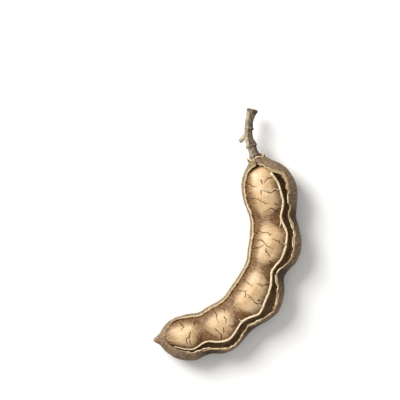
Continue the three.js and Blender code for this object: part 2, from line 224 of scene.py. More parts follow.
def steps_along(along_mm, size, seed):
    """A line that jumps between random levels from -1 to 1, as a break does, about every size in mm."""
    # More levels than the pod's length takes, and some before its start
    levels = np.random.default_rng(seed).uniform(-1, 1, 400)
    place = along_mm / size + 40
    level = np.floor(place).astype(int)
    jump = np.clip((place - level - 0.5) * 4 + 0.5, 0, 1)
    return levels[level] * (1 - jump) + levels[level + 1] * jump


def points_of(piece):
    """A mesh's points as rows of x, y and z."""
    flat = np.empty(len(piece.data.vertices) * 3, np.float32)
    piece.data.vertices.foreach_get("co", flat)
    return flat.reshape(-1, 3)


def move_points(piece, places):
    """Put a mesh's points at their places."""
    piece.data.vertices.foreach_set("co", np.ascontiguousarray(places, dtype=np.float32).ravel())
    piece.data.update()


def add_values(piece, **named):
    """Keep named numbers at each point of a mesh for its material."""
    for name, values in named.items():
        layer = piece.data.attributes.new(name, "FLOAT", "POINT")
        layer.data.foreach_set("value", np.ascontiguousarray(values, dtype=np.float32).ravel())


def clean_up(piece):
    """Merge a mesh's doubled points and turn its faces outwards."""
    bpy.ops.object.select_all(action="DESELECT")
    piece.select_set(True)
    bpy.context.view_layer.objects.active = piece
    bpy.ops.object.mode_set(mode="EDIT")
    bpy.ops.mesh.select_all(action="SELECT")
    bpy.ops.mesh.remove_doubles(threshold=0.00001)
    bpy.ops.mesh.normals_make_consistent(inside=False)
    bpy.ops.object.mode_set(mode="OBJECT")
    bpy.ops.object.shade_smooth()


def colour(code):
    """A linear colour from an sRGB hex value."""
    parts = [int(code[k:k + 2], 16) / 255 for k in (1, 3, 5)]
    return [p / 12.92 if p <= 0.04045 else ((p + 0.055) / 1.055) ** 2.4 for p in parts] + [1.0]


def add_node(tree, kind, settings=None, links=None):
    """Add a shader node with its settings, a ramp's stops among them, and its inputs' values or links."""
    node = tree.nodes.new("ShaderNode" + kind)
    for name, value in (settings or {}).items():
        if name == "stops":
            while len(node.color_ramp.elements) < len(value):
                node.color_ramp.elements.new(0.5)
            for element, (position, code) in zip(node.color_ramp.elements, value):
                element.position = position
                element.color = colour(code)
        else:
            setattr(node, name, value)
    for name, value in (links or {}).items():
        if isinstance(value, bpy.types.NodeSocket):
            tree.links.new(value, node.inputs[name])
        else:
            node.inputs[name].default_value = value
    return node


def new_material(name):
    """A named material with an empty node tree."""
    material = bpy.data.materials.new(name)
    material.use_nodes = True
    tree = material.node_tree
    tree.nodes.clear()
    return material, tree


def laid_flat(tree, around):
    """Places on a piece's skin laid flat: metres along the pod, and round it as kept under a name."""
    along = add_node(tree, "Attribute", {"attribute_name": "along"}).outputs["Fac"]
    around = add_node(tree, "Attribute", {"attribute_name": around}).outputs["Fac"]
    return add_node(tree, "CombineXYZ", {}, {"X": along, "Y": around}).outputs["Vector"]


# Settings of the node that mixes colours: one laid over another, or darkening it. Its inputs 0, 6 and 7
# are the share and the two colours, and its output 2 is the mixed one.
OVER = {"data_type": "RGBA"}
DARKEN = {"data_type": "RGBA", "blend_type": "MULTIPLY"}

# The skin starts as a flat grid, whose columns run from the outer rim round the pod to the inner one
bpy.ops.object.select_all(action="DESELECT")
skin_rows = SKIN_ROWS + COLLAR_ROWS + BEAK_ROWS
bpy.ops.mesh.primitive_grid_add(x_subdivisions=SKIN_COLUMNS, y_subdivisions=skin_rows, size=2)
shell = bpy.context.object
shell.name = "shell_skin"
skin_grid = points_of(shell)
skin_column = np.rint((skin_grid[:, 0] + 1) / 2 * SKIN_COLUMNS)
skin_row = np.rint((1 - skin_grid[:, 1]) / 2 * skin_rows) - COLLAR_ROWS

skin_share = skin_row / SKIN_ROWS
on_skin = np.clip(skin_share, 0, 1)
skin_pod = pod_at(on_skin)
open_here = opened(on_skin, WINDOW_FROM, WINDOW_TO, *WINDOW_ROUND)
skin_along = skin_share * AXIS_LENGTH
# The break wanders and jumps by up to a millimetre
ragged = 0.3 * grain(2.8, skin_along, 10.0) + 0.42 * steps_along(skin_along, 2.9, 5)
ragged = (ragged + 0.3 * steps_along(skin_along, 1.2, 6)) * (1 - 0.85 * eased(skin_share, *RIM_CALMS))
outer_end = np.where(skin_share < 0.5, SLIT_OUTER, RIMS_MEET)
inner_end = np.where(skin_share < 0.5, SLIT_INNER, RIMS_MEET)
outer_rim = outer_end + (skin_pod["rim"] + ragged - outer_end) * open_here
inner_rim = inner_end + (-skin_pod["lip"] - INNER_RIM_BACK + 0.2 * ragged - inner_end) * open_here
outer_angle = np.arccos(np.clip((outer_rim - skin_pod["shift"]) / skin_pod["wide"], -0.99, 0.99))
inner_angle = np.arccos(np.clip((inner_rim - skin_pod["shift"]) / skin_pod["wide"], -0.99, 0.99))
marks = [0, RIM_COLUMNS, SKIN_COLUMNS - RIM_COLUMNS, SKIN_COLUMNS]
around = np.interp(skin_column, marks, [0.0, OUTER_BAND, INNER_BAND, 1.0])
skin_angle = outer_angle + (inner_angle - 2 * math.pi - outer_angle) * around
skin_around = skin_angle * SKIN_GIRTH
skin_x = SKIN_GIRTH * np.cos(skin_angle)
skin_y = SKIN_GIRTH * np.sin(skin_angle)

# Lumps where the skin has shrunk on to the fibres under it, and finer scurf
skin_lumps = 0.17 * grain(7.0, skin_along, skin_x, skin_y) + 0.07 * grain(1.6, skin_along, skin_x, skin_y)
skin_fibres = np.abs(np.sin(skin_angle * 5 + 0.8 * grain(18.0, skin_along, 60.0)))
skin_lumps = skin_lumps + 0.09 * grain(3.2, skin_along, skin_x, skin_y) * skin_fibres

# Along the outer rim the skin has flaked off in steps, widest by the collar
from_rim = around * skin_pod["wide"] * RIM_TO_RIM
flake_edge = 0.35 + 0.4 * grain(4.0, skin_along, 90.0) + 0.5 * steps_along(skin_along, 3.7, 7)
flake_edge = flake_edge + 0.25 * steps_along(skin_along, 1.3, 8)
for patch_at, spread, extra in BARE_PATCHES:
    flake_edge = flake_edge + extra * np.exp(-((skin_share - patch_at) / spread) ** 2)
flake_edge = flake_edge * (1 - 0.75 * np.exp(-((skin_share - 0.03) / 0.016) ** 2))
skin_closing = np.clip((skin_share - CLOSING_FROM) / CLOSING_OVER, 0, 1)
flaked = np.clip((flake_edge - from_rim) / 0.2, 0, 1) * open_here * (1 - skin_closing)
flake_line = np.exp(-((from_rim - flake_edge - 0.12) / 0.2) ** 2) * open_here * (1 - skin_closing)
near_rim = np.clip(1 - from_rim / 2.2, 0, 1) * open_here
from_edge = np.minimum(around, 1 - around) * skin_pod["wide"] * RIM_TO_RIM
flush = np.clip((skin_share - FLUSH_FROM) / CLOSING_OVER, 0, 1) * np.clip(1.5 - from_edge / 2.5, 0, 1)
skin_lift = skin_lumps * np.clip(skin_pod["deep"] / 6, 0, 1) - 0.3 * flaked + 0.06 * flake_line
wide = skin_pod["wide"] + skin_lift
deep = skin_pod["deep"] + skin_lift

# Painted shade and dust: the outer side is painted darker, most in the narrow places between the swellings
# of the outer curve
hollows = np.zeros(len(skin_share))
for narrowest in WAISTS:
    hollows = np.maximum(hollows, np.exp(-((skin_share - narrowest) / HOLLOW_SPREAD) ** 2))
hollows = np.clip(0.25 + hollows, 0, 1) * eased(np.cos(skin_angle), -0.3, 0.4)

# Beyond the collar the skin stands up in the blunt remains of the flower's cup
behind = np.clip(-skin_row / COLLAR_ROWS, 0, 1)
flake_line = np.maximum(flake_line, eased(behind, 0.45, 0.9))
height = np.full(len(skin_row), 0.5)
curl = np.zeros(len(skin_row))
for tip_angle, tip_length, tip_width, tip_curl in CUP_POINTS:
    turn = np.abs((np.degrees(skin_angle) - tip_angle + 180) % 360 - 180)
    from_tip = np.radians(turn) * COLLAR_RADIUS / (1.4 * tip_width)
    point = np.cos(np.clip(from_tip, 0, 1) * math.pi / 2) ** 1.5
    height = np.maximum(height, tip_length * point)
    curl = np.maximum(curl, tip_curl * point)
outwards = curl * behind ** 2.2
back = height * behind

# Past its last section the beak rounds off to a point, whose tip is painted pale as a highlight
beyond = np.clip((skin_share - 1) * SKIN_ROWS / BEAK_ROWS, 0, 1)
narrow = np.sqrt(1 - beyond ** 2)
flake_line = np.maximum(flake_line, 0.48 * eased(skin_share, *BEAK_TIP_HIGHLIGHT))
back = back - BEAK_TIP * beyond
sideways = (skin_pod["shift"] + (wide + outwards) * np.cos(skin_angle)) * narrow
up = (deep + outwards) * np.sin(skin_angle) * narrow
skin_places = in_pod(skin_pod, sideways, up, back)
skin_places[:, 2] = np.maximum(skin_places[:, 2], 0.0)
move_points(shell, skin_places)
add_values(shell, flaked=flaked, flake_line=flake_line, closing=skin_closing, hollows=hollows)
add_values(shell, along=skin_along / 1000, around=skin_around / 1000)

# The wall is at most about half of the pod's narrowest half, and thins at the rims, cup and beak
thick = shell.vertex_groups.new(name="wall")
narrowest_half = np.minimum(skin_pod["wide"], skin_pod["deep"])
wall_here = np.clip(narrowest_half * 0.55 / WALL, 0.05, 1.0) * (1 - 0.95 * beyond)
wall_here = wall_here * (1 - 0.5 * np.clip(back / 1.5, 0, 1)) * (1 - 0.38 * near_rim)
wall_here = wall_here * (1 - 0.7 * flush)
for index, weight in enumerate(wall_here):
    thick.add([index], float(weight), "REPLACE")
clean_up(shell)


def husk_skin():
    """Ripe tamarind husk: a dry, papery, quite matt skin with pale scurf, painted darker on its outer side
    as shade and dust.
    """
    material, tree = new_material("dry_husk_skin")
    flat = laid_flat(tree, "around")
    place = add_node(tree, "TexCoord").outputs["Object"]
    # Blotches of 12 mm, scurf of 1.2 mm and specks of 0.6 mm
    blotch = add_node(tree, "TexNoise", {}, {
        "Vector": place, "Scale": 85.0, "Detail": 4.0,
    }).outputs["Fac"]
    scurf = add_node(tree, "TexNoise", {}, {
        "Vector": place, "Scale": 800.0, "Detail": 6.0, "Roughness": 0.68,
    }).outputs["Fac"]
    speck = add_node(tree, "TexNoise", {}, {
        "Vector": place, "Scale": 1700.0, "Detail": 2.0,
    }).outputs["Fac"]
    # Fine cross lines, about 0.9 mm apart, where the skin has dried round the pod
    stretched = add_node(tree, "Mapping", {}, {
        "Vector": flat, "Scale": (1.0, 0.22, 1.0),
    }).outputs["Vector"]
    lines = add_node(tree, "TexNoise", {}, {
        "Vector": stretched, "Scale": 1100.0, "Detail": 3.0, "Roughness": 0.6,
    }).outputs["Fac"]
    base = add_node(tree, "ValToRGB", {
        "stops": [(0.3, "#66513C"), (0.5, "#7F6449"), (0.72, "#987B5C")],
    }, {"Fac": blotch}).outputs["Color"]
    dusty = add_node(tree, "ValToRGB", {
        "stops": [(0.42, "#000000"), (0.66, "#FFFFFF")],
    }, {"Fac": scurf}).outputs["Color"]
    skin = add_node(tree, "Mix", OVER, {0: dusty, 6: base, 7: colour("#B49A78")}).outputs[2]
    dark = add_node(tree, "ValToRGB", {
        "stops": [(0.3, "#FFFFFF"), (0.42, "#000000")],
    }, {"Fac": speck}).outputs["Color"]
    skin = add_node(tree, "Mix", OVER, {0: dark, 6: skin, 7: colour("#4A3828")}).outputs[2]
    shade = add_node(tree, "ValToRGB", {
        "stops": [(0.36, "#9A9A9A"), (0.58, "#FFFFFF")],
    }, {"Fac": lines}).outputs["Color"]
    skin = add_node(tree, "Mix", DARKEN, {0: 0.55, 6: skin, 7: shade}).outputs[2]
    # Painted shade and dust: the outer side is darkened, most between the swellings
    deep = add_node(tree, "Attribute", {"attribute_name": "hollows"}).outputs["Fac"]
    skin = add_node(tree, "Mix", DARKEN, {0: deep, 6: skin, 7: colour("#8E8276")}).outputs[2]
    bare = add_node(tree, "Attribute", {"attribute_name": "flaked"}).outputs["Fac"]
    under = add_node(tree, "ValToRGB", {
        "stops": [(0.3, "#8F7250"), (0.6, "#B99A70")],
    }, {"Fac": scurf}).outputs["Color"]
    skin = add_node(tree, "Mix", OVER, {0: bare, 6: skin, 7: under}).outputs[2]
    # A pale line along the flaked rim, the pale cup points, and a painted highlight at the beak's tip
    line = add_node(tree, "Attribute", {"attribute_name": "flake_line"}).outputs["Fac"]
    thin = add_node(tree, "ValToRGB", {
        "stops": [(0.35, "#000000"), (0.8, "#FFFFFF")],
    }, {"Fac": line}).outputs["Color"]
    skin = add_node(tree, "Mix", OVER, {0: thin, 6: skin, 7: colour("#D3BC92")}).outputs[2]
    relief = add_node(tree, "Math", {"operation": "ADD"}, {0: scurf, 1: lines}).outputs["Value"]
    bump = add_node(tree, "Bump", {}, {"Height": relief, "Strength": 0.5, "Distance": 0.00022})
    shader = add_node(tree, "BsdfPrincipled", {}, {
        "Base Color": skin, "Roughness": 0.78, "IOR": 1.45, "Normal": bump.outputs["Normal"],
    })
    add_node(tree, "OutputMaterial", {}, {"Surface": shader.outputs["BSDF"]})
    return material


def husk_lining():
    """The shell's inside: smooth, darker and faintly streaked by fibres that run along the pod."""
    material, tree = new_material("husk_lining")
    # Fibres of 0.2 mm are too fine to show, so these streaks are 1.1 mm wide and 6 mm long
    flat = laid_flat(tree, "around")
    stretched = add_node(tree, "Mapping", {}, {
        "Vector": flat, "Scale": (0.18, 1.0, 1.0),
    }).outputs["Vector"]
    streaks = add_node(tree, "TexNoise", {}, {
        "Vector": stretched, "Scale": 900.0, "Detail": 4.0,
    }).outputs["Fac"]
    base = add_node(tree, "ValToRGB", {
        "stops": [(0.35, "#957550"), (0.65, "#C4A378")],
    }, {"Fac": streaks}).outputs["Color"]
    bump = add_node(tree, "Bump", {}, {"Height": streaks, "Strength": 0.35, "Distance": 0.0002})
    shader = add_node(tree, "BsdfPrincipled", {}, {
        "Base Color": base, "Roughness": 0.6, "IOR": 1.45, "Normal": bump.outputs["Normal"],
    })
    add_node(tree, "OutputMaterial", {}, {"Surface": shader.outputs["BSDF"]})
    return material


def broken_husk():
    """The husk's broken edge: clean, pale and fibrous, like the torn edge of dry card."""
    material, tree = new_material("broken_husk_edge")
    place = add_node(tree, "TexCoord").outputs["Object"]
    # Its fibres are too fine to show, so these lumps are 0.7 mm
    fibres = add_node(tree, "TexNoise", {}, {
        "Vector": place, "Scale": 1500.0, "Detail": 5.0,
    }).outputs["Fac"]
    base = add_node(tree, "ValToRGB", {
        "stops": [(0.3, "#B7996F"), (0.5, "#DCC69E"), (0.7, "#EEDFBF")],
    }, {"Fac": fibres}).outputs["Color"]
    # Along the outer rim the edge has weathered in patches of 4 mm
    outer = add_node(tree, "Attribute", {"attribute_name": "flaked"}).outputs["Fac"]
    patches = add_node(tree, "TexNoise", {}, {
        "Vector": place, "Scale": 330.0, "Detail": 2.0,
    }).outputs["Fac"]
    weathered = add_node(tree, "ValToRGB", {
        "stops": [(0.47, "#000000"), (0.56, "#FFFFFF")],
    }, {"Fac": patches}).outputs["Color"]
    weathered = add_node(tree, "Math", {"operation": "MULTIPLY"}, {
        0: weathered, 1: outer,
    }).outputs["Value"]
    base = add_node(tree, "Mix", OVER, {0: weathered, 6: base, 7: colour("#8C7050")}).outputs[2]
    # Towards the beak the edge lies flush on the pulp and has kept its brown skin
    closing = add_node(tree, "Attribute", {"attribute_name": "closing"}).outputs["Fac"]
    base = add_node(tree, "Mix", OVER, {0: closing, 6: base, 7: colour("#8A6D4F")}).outputs[2]
    bump = add_node(tree, "Bump", {}, {"Height": fibres, "Strength": 0.6, "Distance": 0.0002})
    shader = add_node(tree, "BsdfPrincipled", {}, {
        "Base Color": base, "Roughness": 0.85, "IOR": 1.45, "Normal": bump.outputs["Normal"],
    })
    add_node(tree, "OutputMaterial", {}, {"Surface": shader.outputs["BSDF"]})
    return material


shell.data.materials.append(husk_skin())
shell.data.materials.append(husk_lining())
shell.data.materials.append(broken_husk())
wall = shell.modifiers.new("wall", "SOLIDIFY")
wall.thickness = WALL / 1000
wall.offset = -1
wall.use_even_offset = True
wall.vertex_group = "wall"
wall.material_offset = 1
wall.material_offset_rim = 2
bpy.ops.object.modifier_apply(modifier="wall")
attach(shell, "root")
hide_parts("shell")

# The pulp: the sticky flesh round a string of seeds, dried to a leathery skin with fine cracks.
# It fills the shell's inner side, swells over each seed, and is one piece from the collar to the beak.
# the pulp's widest place above the pod's middle, its top below the shell's, its rise by the beak, and the
# gap between it and the wall
PULP_WIDEST = 2.4
PULP_BELOW_TOP = 1.7
PULP_RISE = 1.15
CLEARANCE = 0.3
PULP_SEGMENTS = 172
PULP_RINGS = 550
PULP_GIRTH = 8.0
# shares of the length: its two ends, how far each is rounded, where the husk's fibres stick to it, and the
# spread of each waist; its ends are blunter the smaller the last number is
PULP_FROM = 0.0255
PULP_TO = 0.962
PULP_ROUND = (0.03, 0.009)
STUCK_FROM = 0.9
STUCK_OVER = 0.045
WAIST_SPREAD = 0.03
PULP_BLUNTNESS = 0.38
# the string's middle lies this far off the pulp, on which it has dried, and this angle above its side
STRING_LIFT = 0.57
STRING_ANGLE = 30
# the cracks: half width, depth, length between bends, and the length above which they fork
CRACK_WIDTH = 0.2
CRACK_DEPTH = 0.42
CRACK_STEP = 0.9
FORKED_ABOVE = 5.0
# places along each crack, as share of the length and place across the pulp from -1 to 1
CRACKS = [
    [(0.081, -0.94), (0.081, -0.81), (0.094, -0.63), (0.102, -0.4)],
    [(0.085, 0.67), (0.085, 0.41), (0.095, 0.14)],
    [(0.079, -0.06), (0.087, -0.02), (0.098, 0.01)],
    [(0.137, 0.89), (0.131, 0.77), (0.141, 0.32), (0.124, 0.06), (0.12, -0.18)],
    [(0.123, -0.17), (0.137, -0.2)],
    [(0.129, -0.98), (0.141, -0.88), (0.148, -0.59), (0.152, -0.43), (0.164, -0.35), (0.177, 0.01)],
    [(0.215, 0.72), (0.209, 0.52), (0.197, 0.23), (0.203, 0.04), (0.208, -0.2)],
    [(0.182, 0.42), (0.191, 0.62)],
    [(0.259, 0.94), (0.269, 0.55)],
    [(0.297, -0.97), (0.286, -0.8), (0.296, -0.58), (0.29, -0.32), (0.302, 0.04)],
    [(0.33, -0.82), (0.323, -0.61), (0.347, -0.23), (0.356, 0.24)],
    [(0.372, -0.98), (0.359, -0.59), (0.344, -0.38)],
    [(0.331, 0.83), (0.33, 0.57), (0.322, 0.4), (0.317, 0.09)],
    [(0.359, -0.19), (0.371, -0.14), (0.389, 0.24)],
    [(0.403, 0.31), (0.412, 0.67)],
    [(0.522, -0.98), (0.517, -0.86), (0.521, -0.68), (0.521, -0.2)],
    [(0.491, 0.82), (0.492, 0.64), (0.505, 0.38), (0.504, -0.04)],
    [(0.576, -0.97), (0.572, -0.73), (0.551, -0.37)],
    [(0.557, -0.48), (0.58, -0.23)],
    [(0.563, 0.8), (0.573, 0.37), (0.562, -0.08), (0.564, -0.23)],
    [(0.555, 0.62), (0.559, 0.46)],
    [(0.692, -0.98), (0.692, -0.85)],
    [(0.68, -0.82), (0.678, -0.64), (0.685, -0.46)],
    [(0.699, -0.27), (0.699, -0.06), (0.707, 0.15)],
    [(0.678, 0.75), (0.693, 0.57), (0.701, 0.34)],
    [(0.728, -0.98), (0.719, -0.69), (0.731, -0.44), (0.728, -0.17)],
    [(0.75, 0.8), (0.743, 0.56), (0.749, 0.21), (0.758, 0.06)],
    [(0.722, 0.22), (0.732, 0.45)],
    [(0.818, -0.94), (0.83, -0.58), (0.837, -0.42)],
    [(0.887, -0.86), (0.874, -0.64), (0.888, -0.35)],
    [(0.851, -0.16), (0.861, 0.2), (0.876, 0.22)],
    [(0.873, 0.28), (0.869, 0.6)],
    [(0.862, 0.3), (0.858, 0.63)],
    [(0.817, 0.13), (0.832, 0.45)],
]


def on_pulp(share, angle, lift=0.0):
    """Points on the pulp at shares of the pod's length and angles round it, or lifted off it."""
    pod = pod_at(share)
    shoulder = math.cos(math.radians(STRING_ANGLE))
    half = (pod["lip"] + pod["string"] - STRING_LIFT * shoulder) / (1 + shoulder)
    dome = opened(share, PULP_FROM, PULP_TO, *PULP_ROUND)
    flush = np.clip((share - CLOSING_FROM) / CLOSING_OVER, 0, 1)
    above = pod["deep"] - PULP_BELOW_TOP + PULP_RISE * flush - PULP_WIDEST
    below = pod["deep"] - WALL - CLEARANCE + PULP_WIDEST
    sideways = half - pod["lip"] + half * dome ** PULP_BLUNTNESS * np.cos(angle) - pod["shift"]
    up = (PULP_WIDEST + np.where(np.sin(angle) > 0, above, below) * np.sin(angle)) * dome
    room = (WALL + CLEARANCE) * (1 - 0.7 * flush)
    fit = np.maximum(np.hypot(sideways / (pod["wide"] - room), up / (pod["deep"] - room)), 1)
    sideways = pod["shift"] + sideways / fit + lift * np.cos(angle)
    return in_pod(pod, sideways, up / fit + lift * np.sin(angle))


bpy.ops.object.select_all(action="DESELECT")
bpy.ops.mesh.primitive_uv_sphere_add(segments=PULP_SEGMENTS, ring_count=PULP_RINGS, radius=1)
pulp = bpy.context.object
pulp.name = "pulp_flesh"
flesh_ball = points_of(pulp)
flesh_turn = np.arctan2(flesh_ball[:, 1], flesh_ball[:, 0])
flesh_share = PULP_FROM + (PULP_TO - PULP_FROM) * np.arccos(np.clip(flesh_ball[:, 2], -1, 1)) / math.pi
# Points lie closer together on the pulp's top, where the window shows it
flesh_angle = math.pi / 2 + flesh_turn - 0.42 * np.sin(flesh_turn)
flesh_along = flesh_share * AXIS_LENGTH
flesh_round = flesh_angle * PULP_GIRTH
flesh_x = PULP_GIRTH * np.cos(flesh_angle)
flesh_y = PULP_GIRTH * np.sin(flesh_angle)

random = np.random.default_rng(7)
crack = np.zeros(len(flesh_ball))
shown = np.sin(flesh_angle) > -0.2
for stops in CRACKS:
    crack_line = [(stop * AXIS_LENGTH, math.acos(across) * PULP_GIRTH) for stop, across in stops]
    crack_line = np.array(crack_line)
    reach = np.concatenate([[0], np.cumsum(np.linalg.norm(np.diff(crack_line, axis=0), axis=1))])
    even = np.linspace(0, reach[-1], max(3, int(reach[-1] / CRACK_STEP)) + 1)
    crack_line = np.stack([np.interp(even, reach, crack_line[:, k]) for k in (0, 1)], axis=1)
    crack_line[1:-1] += random.normal(0, 0.16, (len(crack_line) - 2, 2))
    thinning = 1 - 0.5 * even / reach[-1]
    segments = [(*a, *b, size) for a, b, size in zip(crack_line[:-1], crack_line[1:], thinning)]
    # A short fork leaves the longer cracks part of the way along
    if reach[-1] > FORKED_ABOVE:
        fork = random.integers(2, len(crack_line) - 2)
        to_side = random.choice([-1, 1])
        onwards = (crack_line[fork + 1] - crack_line[fork]) * 0.8
        fork_tip = crack_line[fork] + onwards + np.array([to_side * random.uniform(0.7, 1.3), 0])
        segments.append((*crack_line[fork], *fork_tip, 0.55))
    # Each point is dark and deep by how close it lies to the crack
    for ax, ay, bx, by, size in segments:
        near = shown & (np.abs(flesh_along - (ax + bx) / 2) < abs(bx - ax) / 2 + 1.5)
        px = flesh_along[near] - ax
        py = flesh_round[near] - ay
        length = (bx - ax) ** 2 + (by - ay) ** 2
        t = np.clip((px * (bx - ax) + py * (by - ay)) / length, 0, 1)
        gap = np.hypot(px - t * (bx - ax), py - t * (by - ay))
        crack[near] = np.maximum(crack[near], size * np.exp(-(gap / CRACK_WIDTH) ** 2))

# Painted shade: masks that darken the pulp along both edges, on the string's side, most at its waists, and
# at its two ends; the waist and edge masks also shape its puckers and top
waist = np.zeros(len(flesh_share))
for narrowest in WAISTS:
    waist = np.maximum(waist, np.exp(-((flesh_share - narrowest) / WAIST_SPREAD) ** 2))
side = np.clip((np.abs(np.cos(flesh_angle)) - 0.48) / 0.45, 0, 1)
by_string = waist * eased(np.cos(flesh_angle), 0.05, 0.7) + 0.5 * eased(np.cos(flesh_angle), 0.3, 0.8)
flesh_closing = np.clip((flesh_share - STUCK_FROM) / STUCK_OVER, 0, 1)
ends = 1 - eased(flesh_share, PULP_FROM, 0.045) + eased(flesh_share, 0.925, PULP_TO)
# Low lumps of 6 mm in the dried flesh, and finer ones
flesh_lumps = 0.2 * grain(6.0, flesh_along, flesh_x, flesh_y)
flesh_lumps = flesh_lumps + 0.05 * grain(1.3, flesh_along, flesh_x, flesh_y)
# Fine puckers run in from the pulp's edges, and more of them cross its waists; their creases are painted
# dark as shade
pucker = np.clip(1 - np.abs(grain(1.5, flesh_along, flesh_x * 0.2, flesh_y * 0.2, 2)) / 0.16, 0, 1)
puckered = 1.3 * side + 0.7 * waist + 0.25 * grain(4.0, flesh_along, flesh_x, flesh_y) - 0.15
pucker = pucker * np.clip(puckered, 0, 1)
drawn_in = 0.75 * waist * np.clip(np.sin(flesh_angle), 0, 1) ** 2
flesh_lift = flesh_lumps * (1 - flesh_closing) - 0.1 * pucker - drawn_in - CRACK_DEPTH * crack
flesh_lift = flesh_lift * opened(flesh_share, PULP_FROM, PULP_TO, 0.01, 0.006)
flesh_places = on_pulp(flesh_share, flesh_angle, flesh_lift)
move_points(pulp, flesh_places)
# The masks of painted shade, kept for the material
add_values(pulp, crack=crack, pucker=pucker, waist=np.maximum(waist, 0.8 * ends))
add_values(pulp, side=np.maximum(side, by_string), closing=flesh_closing)
add_values(pulp, along=flesh_along / 1000, round=flesh_round / 1000)
clean_up(pulp)


def dried_pulp():
    """Tamarind flesh dried in its pod: leathery and faintly sticky, so satin, and dark in its cracks."""
    material, tree = new_material("dried_tamarind_pulp")
    flat = laid_flat(tree, "round")
    place = add_node(tree, "TexCoord").outputs["Object"]
    # Patches of 9 mm, fine grain of 0.8 mm and cross puckers 0.7 mm apart
    patch = add_node(tree, "TexNoise", {}, {
        "Vector": place, "Scale": 110.0, "Detail": 3.0,
    }).outputs["Fac"]
    grains = add_node(tree, "TexNoise", {}, {
        "Vector": place, "Scale": 1250.0, "Detail": 5.0, "Roughness": 0.62,
    }).outputs["Fac"]
    stretched = add_node(tree, "Mapping", {}, {
        "Vector": flat, "Scale": (1.0, 0.16, 1.0),
    }).outputs["Vector"]
    lines = add_node(tree, "TexNoise", {}, {
        "Vector": stretched, "Scale": 1400.0, "Detail": 3.0,
    }).outputs["Fac"]
    base = add_node(tree, "ValToRGB", {
        "stops": [(0.3, "#CCA679"), (0.5, "#DBB98C"), (0.7, "#E6CBA3")],
    }, {"Fac": patch}).outputs["Color"]
    # Painted shade: darker along the edges, on the string's side, in the waists and at both ends, broken by
    # the grain; the cross wrinkles also darken more there
    edge = add_node(tree, "Attribute", {"attribute_name": "side"}).outputs["Fac"]
    waist = add_node(tree, "Attribute", {"attribute_name": "waist"}).outputs["Fac"]
    sides = add_node(tree, "Math", {"operation": "MULTIPLY_ADD", "use_clamp": True}, {
        0: waist, 1: 0.8, 2: edge,
    }).outputs["Value"]
    uneven = add_node(tree, "Math", {"operation": "MULTIPLY"}, {0: sides, 1: grains}).outputs["Value"]
    painted_pulp_shade = add_node(tree, "ValToRGB", {
        "stops": [(0.03, "#000000"), (0.5, "#FFFFFF")],
    }, {"Fac": uneven}).outputs["Color"]
    skin = add_node(tree, "Mix", OVER, {0: painted_pulp_shade, 6: base, 7: colour("#815931")}).outputs[2]
    fine = add_node(tree, "ValToRGB", {
        "stops": [(0.36, "#B8B8B8"), (0.56, "#FFFFFF")],
    }, {"Fac": grains}).outputs["Color"]
    skin = add_node(tree, "Mix", DARKEN, {0: 0.4, 6: skin, 7: fine}).outputs[2]
    wrinkle = add_node(tree, "ValToRGB", {
        "stops": [(0.38, "#8C8C8C"), (0.55, "#FFFFFF")],
    }, {"Fac": lines}).outputs["Color"]
    amount = add_node(tree, "Math", {"operation": "MULTIPLY_ADD", "use_clamp": True}, {
        0: sides, 1: 0.7, 2: 0.1,
    }).outputs["Value"]
    skin = add_node(tree, "Mix", DARKEN, {0: amount, 6: skin, 7: wrinkle}).outputs[2]
    # Painted shade in the puckers' creases
    pucker = add_node(tree, "Attribute", {"attribute_name": "pucker"}).outputs["Fac"]
    folds = add_node(tree, "ValToRGB", {
        "stops": [(0.2, "#000000"), (0.9, "#B0B0B0")],
    }, {"Fac": pucker}).outputs["Color"]
    skin = add_node(tree, "Mix", OVER, {0: folds, 6: skin, 7: colour("#5B3D22")}).outputs[2]
    closing = add_node(tree, "Attribute", {"attribute_name": "closing"}).outputs["Fac"]
    # Towards the beak the husk's fibres stick to the flesh, in streaks 1 mm apart
    lengthwise = add_node(tree, "Mapping", {}, {
        "Vector": flat, "Scale": (0.14, 1.0, 1.0),
    }).outputs["Vector"]
    streaks = add_node(tree, "TexNoise", {}, {
        "Vector": lengthwise, "Scale": 1000.0, "Detail": 3.0,
    }).outputs["Fac"]
    stuck = add_node(tree, "ValToRGB", {
        "stops": [(0.42, "#FFFFFF"), (0.58, "#606060")],
    }, {"Fac": streaks}).outputs["Color"]
    stuck = add_node(tree, "Math", {"operation": "MULTIPLY"}, {0: stuck, 1: closing}).outputs["Value"]
    skin = add_node(tree, "Mix", OVER, {0: stuck, 6: skin, 7: colour("#6A4D31")}).outputs[2]
    open_crack = add_node(tree, "Attribute", {"attribute_name": "crack"}).outputs["Fac"]
    dark = add_node(tree, "ValToRGB", {
        "stops": [(0.18, "#000000"), (0.5, "#FFFFFF")],
    }, {"Fac": open_crack}).outputs["Color"]
    skin = add_node(tree, "Mix", OVER, {0: dark, 6: skin, 7: colour("#38230F")}).outputs[2]
    relief = add_node(tree, "Math", {"operation": "ADD"}, {0: grains, 1: lines}).outputs["Value"]
    bump = add_node(tree, "Bump", {}, {"Height": relief, "Strength": 0.4, "Distance": 0.00018})
    shader = add_node(tree, "BsdfPrincipled", {}, {
        "Base Color": skin, "Roughness": 0.55, "IOR": 1.45, "Normal": bump.outputs["Normal"],
    })
    add_node(tree, "OutputMaterial", {}, {"Surface": shader.outputs["BSDF"]})
    return material


pulp.data.materials.append(dried_pulp())
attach(pulp, "root")
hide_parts("pulp")

# The string: the tough pale fibre that feeds the seeds, dried on to the pulp's outer edge.
# It comes down from the stalk's foot, thins out towards the beak, and sends short branches over the pulp.
STRING_RADIUS = 0.62
STRING_SEGMENTS = 20
STRING_RINGS = 900
STRING_VOXEL = 0.14
# shares of the length: where it begins, high on the pulp, where it has come down to its side, and its end
STRING_FROM = 0.06
STRING_DOWN_AT = 0.12
STRING_TO = 0.925
